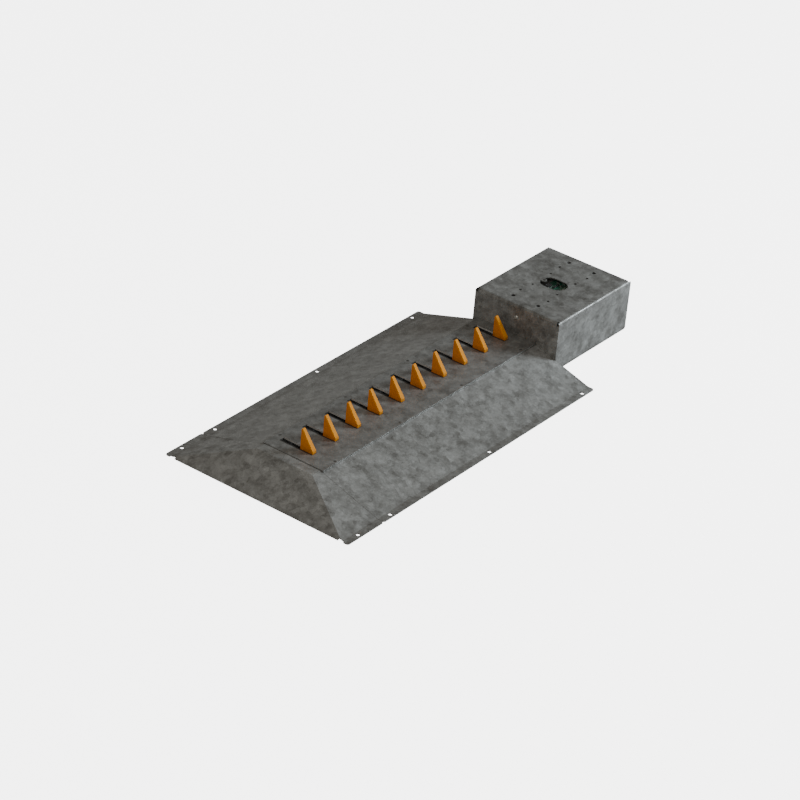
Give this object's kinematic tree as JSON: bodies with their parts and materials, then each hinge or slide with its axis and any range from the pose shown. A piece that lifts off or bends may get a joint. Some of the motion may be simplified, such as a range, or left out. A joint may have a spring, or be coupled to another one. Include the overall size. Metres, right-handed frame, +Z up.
{
  "type": "tyre spike strip",
  "caption": "Motorised tyre spike strip: a low steel ramp with a slotted deck, a row of folding spikes, a hipped end piece and a covered drive box.",
  "frame": {"origin": "on the road, under the middle of the whole object's length and width", "axes": "+X along the strip from the hipped end piece to the drive housing, +Y across the strip towards the side the spikes fold to, +Z up"},
  "size_m": [1.5331, 0.65, 0.165],
  "materials": {
    "galvanised_steel": "hot-dip galvanised, mottled, dull",
    "galvanised_deck": "hot-dip galvanised, weathered dark grey",
    "orange_paint": "satin paint",
    "black_oxide_steel": "black oxide, satin",
    "zinc_plated_steel": "zinc plated, satin",
    "machined_steel": "turned or milled, lightly oiled",
    "bronze": "sintered, satin",
    "cast_housing": "painted grey casting",
    "plain_steel": "rolled plate, satin",
    "motor_paint": "semi-matte paint",
    "black_plastic": "moulded, matte",
    "brass_barrel": "nickelled brass, satin",
    "board_green": "solder mask, glossy",
    "components": "moulded, matte",
    "core_steel": "varnished laminations"
  },
  "bodies": {
    "base": {"ramp_near": "galvanised_steel", "ramp_far": "galvanised_steel", "gussets_near": "galvanised_steel", "gussets_far": "galvanised_steel", "deck_plate": "galvanised_deck", "deck_screws": "black_oxide_steel", "deck_nuts": "zinc_plated_steel", "end_ramp": "galvanised_steel", "end_ribs": "galvanised_steel", "end_bolts": "zinc_plated_steel", "end_nuts": "zinc_plated_steel", "rail_near": "galvanised_steel", "rail_far": "galvanised_steel", "rib_1": "galvanised_steel", "rib_2": "galvanised_steel", "rib_3": "galvanised_steel", "rib_4": "galvanised_steel", "shaft_bushes": "bronze", "housing_tray": "galvanised_steel", "housing_cover": "galvanised_steel", "cover_screws": "zinc_plated_steel", "cover_nuts": "zinc_plated_steel", "joint_bolts": "zinc_plated_steel", "joint_nuts": "zinc_plated_steel", "pillow_block": "cast_housing", "pillow_bush": "bronze", "pillow_bolts": "zinc_plated_steel", "drive_bracket": "plain_steel", "bracket_bolts": "zinc_plated_steel", "gearbox": "cast_housing", "gearbox_screws": "zinc_plated_steel", "motor": "motor_paint", "motor_cap": "black_plastic", "sensor_bracket": "plain_steel", "position_sensors": "brass_barrel", "board_bracket": "galvanised_steel", "board_standoffs": "zinc_plated_steel", "circuit_board": "board_green", "board_parts": "components", "transformer": "core_steel", "cable_gland": "black_plastic"},
    "spike_row": {"spike_shaft": "machined_steel", "spike_pins": "zinc_plated_steel", "shaft_collar": "zinc_plated_steel", "sector_gear": "machined_steel", "gear_key": "zinc_plated_steel", "position_flag": "machined_steel", "spike_01": "orange_paint", "spike_02": "orange_paint", "spike_03": "orange_paint", "spike_04": "orange_paint", "spike_05": "orange_paint", "spike_06": "orange_paint", "spike_07": "orange_paint", "spike_08": "orange_paint", "spike_09": "orange_paint", "spike_10": "orange_paint"},
    "drive_pinion": {"output_shaft": "machined_steel", "pinion": "machined_steel", "pinion_pin": "zinc_plated_steel"}
  },
  "joints": [
    {"name": "spike_fold", "type": "hinge", "parent": "base", "child": "spike_row", "pos_m": [-0.10967, -0.024, 0.03], "axis": [-1, 0, 0], "range_deg": [0, 57]},
    {"name": "pinion_turn", "type": "hinge", "parent": "base", "child": "drive_pinion", "pos_m": [0.41433, -0.07623, 0.09224], "axis": [-1, 0, 0], "range_deg": [-161, 0]}
  ],
  "couplings": [
    {"joint": "pinion_turn", "follows": "spike_fold", "ratio": -2.8235}
  ]
}
